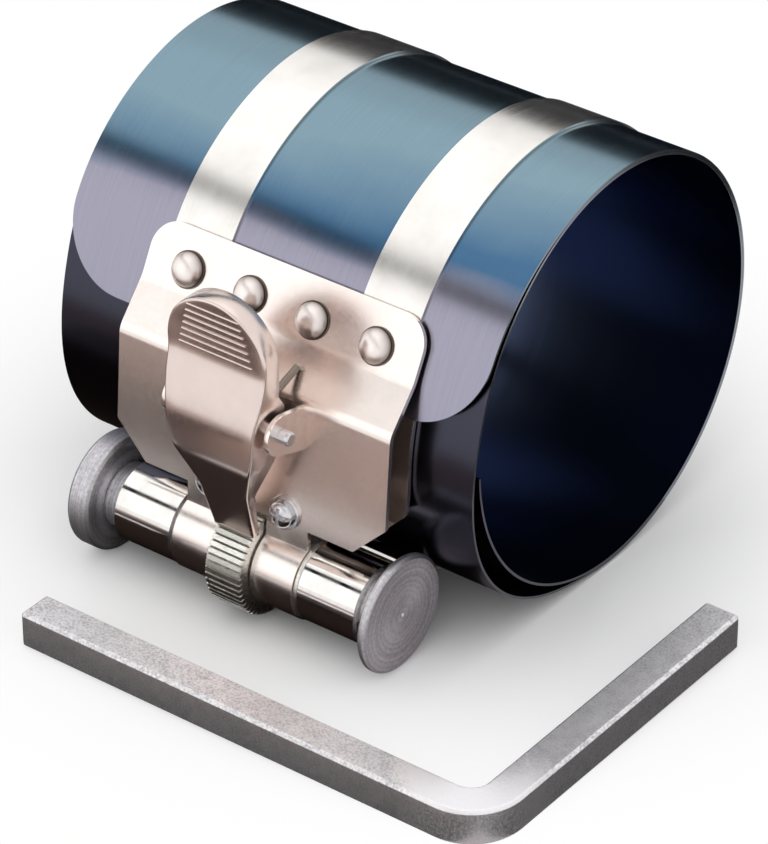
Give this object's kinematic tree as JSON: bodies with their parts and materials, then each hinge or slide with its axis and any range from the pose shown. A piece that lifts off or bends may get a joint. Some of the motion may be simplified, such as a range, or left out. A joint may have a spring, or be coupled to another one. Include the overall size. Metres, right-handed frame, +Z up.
{
  "type": "piston ring compressor",
  "caption": "Ratcheting band clamp that squeezes piston rings: wound spring-steel sleeve, steel straps, folded bracket, winding shaft, thumb release and square key.",
  "frame": {"origin": "middle of the piston bore, on its axis", "axes": "+X along the bore towards the shaft's plain head, +Y away from the winding mechanism, +Z up as the tool lies on its side"},
  "size_m": [0.1088, 0.1084, 0.072],
  "materials": {
    "blued_spring_steel": "blued, satin",
    "bright_strap_steel": "satin",
    "nickel_plate": "satin nickel",
    "turned_steel": "turned",
    "milled_steel": "machined",
    "zinc_fasteners": "bright zinc",
    "spring_wire": "drawn",
    "zinc_key_steel": "drawn, zinc plated"
  },
  "bodies": {
    "root": {"band_sheet": "blued_spring_steel", "strap_left": "bright_strap_steel", "strap_right": "bright_strap_steel", "bracket": "nickel_plate", "bracket_rivet_1": "nickel_plate", "bracket_rivet_2": "nickel_plate", "bracket_rivet_3": "nickel_plate", "bracket_rivet_4": "nickel_plate", "clamp_screw_left": "zinc_fasteners", "clamp_screw_right": "zinc_fasteners", "clamp_washer_left": "zinc_fasteners", "clamp_washer_right": "zinc_fasteners", "clamp_nut_left": "zinc_fasteners", "clamp_nut_right": "zinc_fasteners", "lever_pin": "zinc_fasteners", "torsion_spring": "spring_wire"},
    "shaft": {"winding_shaft": "turned_steel", "socket_flange": "turned_steel", "ratchet_wheel": "milled_steel", "spacer_ring": "milled_steel", "strap_roll_left": "bright_strap_steel", "strap_roll_right": "bright_strap_steel"},
    "lever": {"release_lever": "nickel_plate"},
    "key": {"square_key": "zinc_key_steel"}
  },
  "joints": [
    {"name": "shaft_spin", "type": "hinge", "parent": "root", "child": "shaft", "pos_m": [0, -0.0414, -0.0263], "axis": [1, 0, 0], "range_deg": [-840, 410]},
    {"name": "lever_pivot", "type": "hinge", "parent": "root", "child": "lever", "pos_m": [0, -0.0481, 0.0027], "axis": [1, 0, 0], "range_deg": [-12, 0], "stiffness_Nm_per_rad": 0.05, "springref_deg": 17.19, "deforming": ["torsion_spring"]},
    {"name": "key_lift", "type": "slide", "parent": "root", "child": "key", "axis": [0, 0, 1], "range_m": [0, 0.12]}
  ]
}
